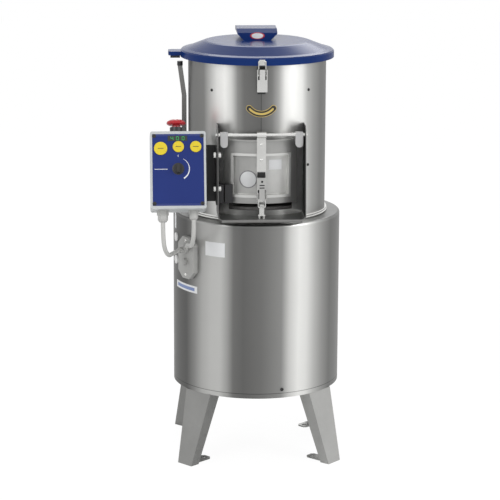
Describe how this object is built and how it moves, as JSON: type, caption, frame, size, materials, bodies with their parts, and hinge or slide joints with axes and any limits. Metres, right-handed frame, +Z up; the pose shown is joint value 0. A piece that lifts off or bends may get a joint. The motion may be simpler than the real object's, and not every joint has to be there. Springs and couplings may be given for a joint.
{
  "type": "electric potato peeler",
  "caption": "Free-standing drum potato peeler with hinged lid, discharge door in a chute, latches, control box and legs.",
  "frame": {"origin": "floor level, midway between the four foot holes, on the drum's axis", "axes": "+Z up, -Y towards the front with the door, +X to the viewer's right"},
  "size_m": [0.4469, 0.4725, 1],
  "materials": {
    "casing_steel": "vertical brushed stainless",
    "drum_steel": "brushed stainless",
    "sheet_steel": "satin stainless",
    "bright_steel": "polished stainless",
    "machined_steel": "turned",
    "lid_blue": "glossy blue moulding",
    "rubber_black": "matt",
    "plastic_black": "satin",
    "plastic_grey": "satin light grey",
    "plastic_white": "fine satin",
    "panel_blue": "film",
    "button_yellow": "satin",
    "stop_red": "gloss",
    "abrasive": "coarse grit",
    "cast_housing": "painted casting",
    "lug_grey": "satin light grey"
  },
  "bodies": {
    "frame": {"base_shell": "casing_steel", "bottom_plate": "sheet_steel", "leg_front_left": "sheet_steel", "leg_front_right": "sheet_steel", "leg_rear_left": "sheet_steel", "leg_rear_right": "sheet_steel", "frame_bolts": "bright_steel", "drum_shell": "drum_steel", "drum_foot_ring": "bright_steel", "abrasive_liner": "abrasive", "bearing_housing": "cast_housing", "shaft_bearings": "machined_steel", "shaft_seal": "rubber_black", "motor": "cast_housing", "drive_belt": "rubber_black", "drain_pipe": "sheet_steel", "water_inlet": "bright_steel", "chute_guard": "sheet_steel", "hinge_pins": "bright_steel", "door_sensor": "plastic_black", "door_keeper": "bright_steel", "lid_latch_base": "sheet_steel", "lid_hinge_bracket": "sheet_steel", "interlock_arm": "sheet_steel", "interlock_head": "plastic_black", "control_bracket": "sheet_steel", "box_base": "plastic_white", "box_cover": "plastic_white", "control_panel": "panel_blue", "stop_collar": "plastic_black", "cable_glands": "plastic_grey", "cable_housing": "plastic_grey", "cable_left": "plastic_grey", "cable_right": "plastic_grey", "side_plugs": "plastic_white"},
    "lid": {"lid_cover": "lid_blue", "lid_handle": "lid_blue", "lid_seal": "rubber_black", "lid_catch": "bright_steel", "lid_magnet": "plastic_black", "lid_hinge_leaf": "sheet_steel"},
    "lid_lever": {"lid_latch_lever": "bright_steel"},
    "lid_bail": {"lid_latch_bail": "bright_steel"},
    "door": {"door_panel": "sheet_steel", "door_lugs": "lug_grey", "door_strap": "bright_steel", "door_magnet": "plastic_black", "door_latch_base": "sheet_steel"},
    "door_lever": {"door_latch_lever": "bright_steel"},
    "door_bail": {"door_latch_bail": "bright_steel"},
    "disc": {"abrasive_disc": "abrasive", "drive_shaft": "machined_steel", "driven_pulley": "cast_housing"},
    "rotor": {"motor_shaft": "machined_steel", "motor_pulley": "machined_steel"},
    "stop": {"stop_button": "stop_red"},
    "push_left": {"button_left": "button_yellow"},
    "push_middle": {"button_middle": "button_yellow"},
    "push_right": {"button_right": "button_yellow"},
    "knob": {"timer_knob": "plastic_black"}
  },
  "joints": [
    {"name": "lid_hinge", "type": "hinge", "parent": "frame", "child": "lid", "pos_m": [0, 0.186, 0.941], "axis": [-1, 0, 0], "range_deg": [0, 100]},
    {"name": "lid_latch", "type": "hinge", "parent": "frame", "child": "lid_lever", "pos_m": [0, -0.1785, 0.925], "axis": [-1, 0, 0], "range_deg": [0, 120]},
    {"name": "lid_latch_bail_turn", "type": "hinge", "parent": "lid_lever", "child": "lid_bail", "pos_m": [0, -0.1825, 0.915], "axis": [-1, 0, 0], "range_deg": [-120, 0]},
    {"name": "door_hinge", "type": "hinge", "parent": "frame", "child": "door", "pos_m": [0, -0.172, 0.78], "axis": [-1, 0, 0], "range_deg": [0, 100]},
    {"name": "door_latch", "type": "hinge", "parent": "door", "child": "door_lever", "pos_m": [0, -0.188, 0.64], "axis": [1, 0, 0], "range_deg": [0, 120]},
    {"name": "door_latch_bail_turn", "type": "hinge", "parent": "door_lever", "child": "door_bail", "pos_m": [0, -0.192, 0.65], "axis": [1, 0, 0], "range_deg": [-120, 0]},
    {"name": "disc_spin", "type": "hinge", "parent": "frame", "child": "disc", "pos_m": [0, 0, 0.6], "axis": [0, 0, 1], "continuous": true},
    {"name": "motor_spin", "type": "hinge", "parent": "frame", "child": "rotor", "pos_m": [0.118, 0, 0.245], "axis": [0, 0, 1], "continuous": true},
    {"name": "stop_press", "type": "slide", "parent": "frame", "child": "stop", "axis": [0, -0.3256, -0.9455], "range_m": [0, 0.004], "stiffness_N_per_m": 800, "springref_m": -0.002},
    {"name": "left_press", "type": "slide", "parent": "frame", "child": "push_left", "axis": [0, 0.9455, -0.3256], "range_m": [0, 0.002], "stiffness_N_per_m": 600, "springref_m": -0.001},
    {"name": "middle_press", "type": "slide", "parent": "frame", "child": "push_middle", "axis": [0, 0.9455, -0.3256], "range_m": [0, 0.002], "stiffness_N_per_m": 600, "springref_m": -0.001},
    {"name": "right_press", "type": "slide", "parent": "frame", "child": "push_right", "axis": [0, 0.9455, -0.3256], "range_m": [0, 0.002], "stiffness_N_per_m": 600, "springref_m": -0.001},
    {"name": "knob_turn", "type": "hinge", "parent": "frame", "child": "knob", "pos_m": [-0.189, -0.20725, 0.71018], "axis": [0, -0.9455, 0.3256], "range_deg": [-140, 140]}
  ],
  "couplings": [
    {"joint": "lid_latch_bail_turn", "follows": "lid_latch", "ratio": -1},
    {"joint": "door_latch_bail_turn", "follows": "door_latch", "ratio": -1},
    {"joint": "motor_spin", "follows": "disc_spin", "ratio": 4}
  ]
}
